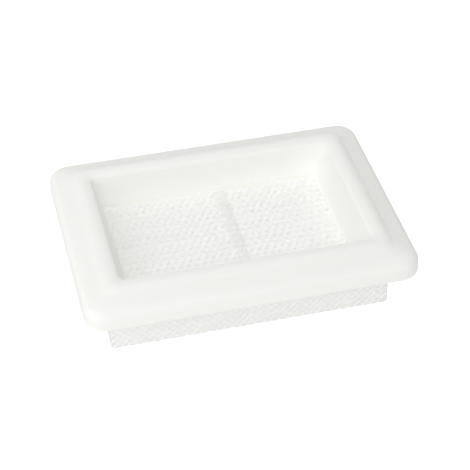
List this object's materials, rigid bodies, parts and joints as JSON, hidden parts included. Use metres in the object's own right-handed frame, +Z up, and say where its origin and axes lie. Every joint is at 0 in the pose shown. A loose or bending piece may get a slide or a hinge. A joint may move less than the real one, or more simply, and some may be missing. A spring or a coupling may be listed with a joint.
{
  "type": "vacuum filter",
  "caption": "Rectangular vacuum filter: soft moulded flange with a raised sealing rim round a recess, over a pleated pack faced with diamond net.",
  "frame": {"origin": "centre of the pack's lower face, which is the bottom of the part as it rests with the recess up", "axes": "+X along the long side of the flange and along the pleats, +Y towards the back long side, +Z up out of the recess"},
  "size_m": [0.096, 0.0716, 0.0227],
  "materials": {
    "soft_moulding": "satin white cast elastomer, soft edges",
    "filter_sheet": "matt white fibre sheet",
    "net_plastic": "white extruded net, slightly glossy strands",
    "glue": "cloudy set glue",
    "strip_felt": "matt white bonded felt strip"
  },
  "bodies": {
    "root": {"seal_frame": "soft_moulding", "pleated_media": "filter_sheet", "front_net": "net_plastic", "back_net": "net_plastic", "glue_bead": "glue", "end_strip_left": "strip_felt", "end_strip_right": "strip_felt"}
  },
  "joints": []
}
